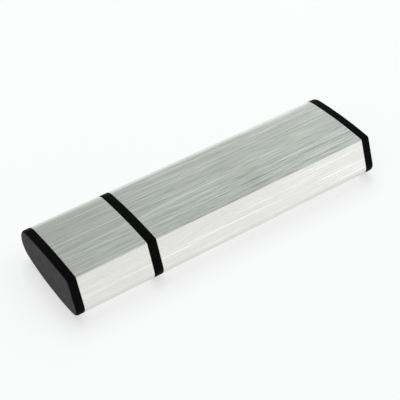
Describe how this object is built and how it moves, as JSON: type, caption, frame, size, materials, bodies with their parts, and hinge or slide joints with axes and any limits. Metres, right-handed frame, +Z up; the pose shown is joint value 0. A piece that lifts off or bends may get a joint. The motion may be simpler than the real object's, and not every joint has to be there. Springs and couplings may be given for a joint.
{
  "type": "usb flash drive",
  "caption": "Pocket USB flash drive: a brushed aluminium sleeve with a rounded back edge and slanted front, black end plugs and collar, and a pull-off cap over the plug.",
  "frame": {"origin": "middle of the drive's footprint, on the surface that it lies on", "axes": "+X along the drive from the cap to the body's end, +Y from the slanted front face to the round back edge, +Z up"},
  "size_m": [0.068, 0.0204, 0.0087],
  "materials": {
    "brushed_aluminium": "brushed along its length, satin",
    "black_plastic": "fine spark texture",
    "liner_plastic": "plain moulded",
    "carrier_plastic": "plain moulded, natural",
    "plug_steel": "bright nickel-plated sheet",
    "tongue_plastic": "moulded, white",
    "gold_plate": "thin gold plate",
    "board_laminate": "green solder mask",
    "chip_resin": "moulded epoxy",
    "crystal_can": "plain drawn can",
    "capacitor_ceramic": "fired ceramic with tinned ends",
    "resistor_ceramic": "glazed film with tinned ends"
  },
  "bodies": {
    "body": {"front_collar": "black_plastic", "body_sleeve": "brushed_aluminium", "body_end_plug": "black_plastic", "board_carrier_lower": "carrier_plastic", "board_carrier_upper": "carrier_plastic", "usb_shell": "plug_steel", "usb_tongue": "tongue_plastic", "usb_contact_power": "gold_plate", "usb_contact_data_minus": "gold_plate", "usb_contact_data_plus": "gold_plate", "usb_contact_ground": "gold_plate", "circuit_board": "board_laminate", "controller_chip": "chip_resin", "memory_chip": "chip_resin", "clock_crystal": "crystal_can", "capacitor_1": "capacitor_ceramic", "capacitor_2": "capacitor_ceramic", "capacitor_3": "capacitor_ceramic", "capacitor_4": "capacitor_ceramic", "resistor_1": "resistor_ceramic", "resistor_2": "resistor_ceramic", "resistor_3": "resistor_ceramic", "resistor_4": "resistor_ceramic"},
    "cap": {"cap_sleeve": "brushed_aluminium", "cap_end_plug": "black_plastic", "cap_liner": "liner_plastic"}
  },
  "joints": [
    {"name": "cap_slide", "type": "slide", "parent": "body", "child": "cap", "axis": [-1, 0, 0], "range_m": [0, 0.025]}
  ]
}
